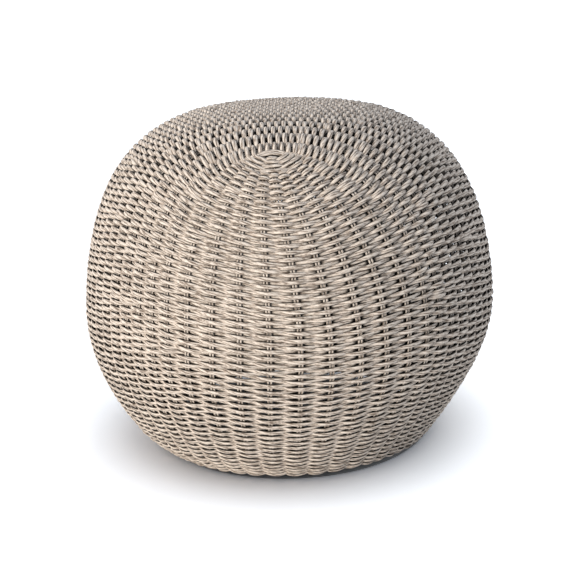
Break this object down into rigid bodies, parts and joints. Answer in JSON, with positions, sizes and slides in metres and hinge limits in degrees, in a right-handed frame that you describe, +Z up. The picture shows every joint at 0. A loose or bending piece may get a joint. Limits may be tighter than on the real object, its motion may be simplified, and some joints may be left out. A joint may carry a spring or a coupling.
{
  "type": "outdoor ottoman footstool",
  "caption": "Round woven cord ottoman: a barrel-shaped basket-weave skin over a welded rod frame with glides under the foot.",
  "frame": {"origin": "on the floor at the middle of the foot", "axes": "+Z up; the front, with the eye of the weave that the picture shows, faces -Y; the whole seat bar runs along X"},
  "size_m": [0.56, 0.56, 0.455],
  "materials": {
    "cord": "woven fibrous cord, matt, warm beige",
    "frame": "powder coated, satin dark taupe",
    "glide": "moulded nylon, matt black",
    "fastener": "stainless steel, plain"
  },
  "bodies": {
    "root": {"woven_skin": "cord", "woven_border": "cord", "base_ring": "frame", "waist_ring": "frame", "seat_ring": "frame", "lower_rib_1": "frame", "upper_rib_1": "frame", "lower_rib_2": "frame", "upper_rib_2": "frame", "lower_rib_3": "frame", "upper_rib_3": "frame", "lower_rib_4": "frame", "upper_rib_4": "frame", "lower_rib_5": "frame", "upper_rib_5": "frame", "lower_rib_6": "frame", "upper_rib_6": "frame", "lower_rib_7": "frame", "upper_rib_7": "frame", "lower_rib_8": "frame", "upper_rib_8": "frame", "seat_bar_whole": "frame", "seat_bar_back": "frame", "seat_bar_front": "frame", "glide_plate_1": "frame", "glide_1": "glide", "glide_screw_1": "fastener", "glide_nut_1": "fastener", "glide_plate_2": "frame", "glide_2": "glide", "glide_screw_2": "fastener", "glide_nut_2": "fastener", "glide_plate_3": "frame", "glide_3": "glide", "glide_screw_3": "fastener", "glide_nut_3": "fastener", "glide_plate_4": "frame", "glide_4": "glide", "glide_screw_4": "fastener", "glide_nut_4": "fastener", "glide_plate_5": "frame", "glide_5": "glide", "glide_screw_5": "fastener", "glide_nut_5": "fastener", "glide_plate_6": "frame", "glide_6": "glide", "glide_screw_6": "fastener", "glide_nut_6": "fastener"}
  },
  "joints": []
}
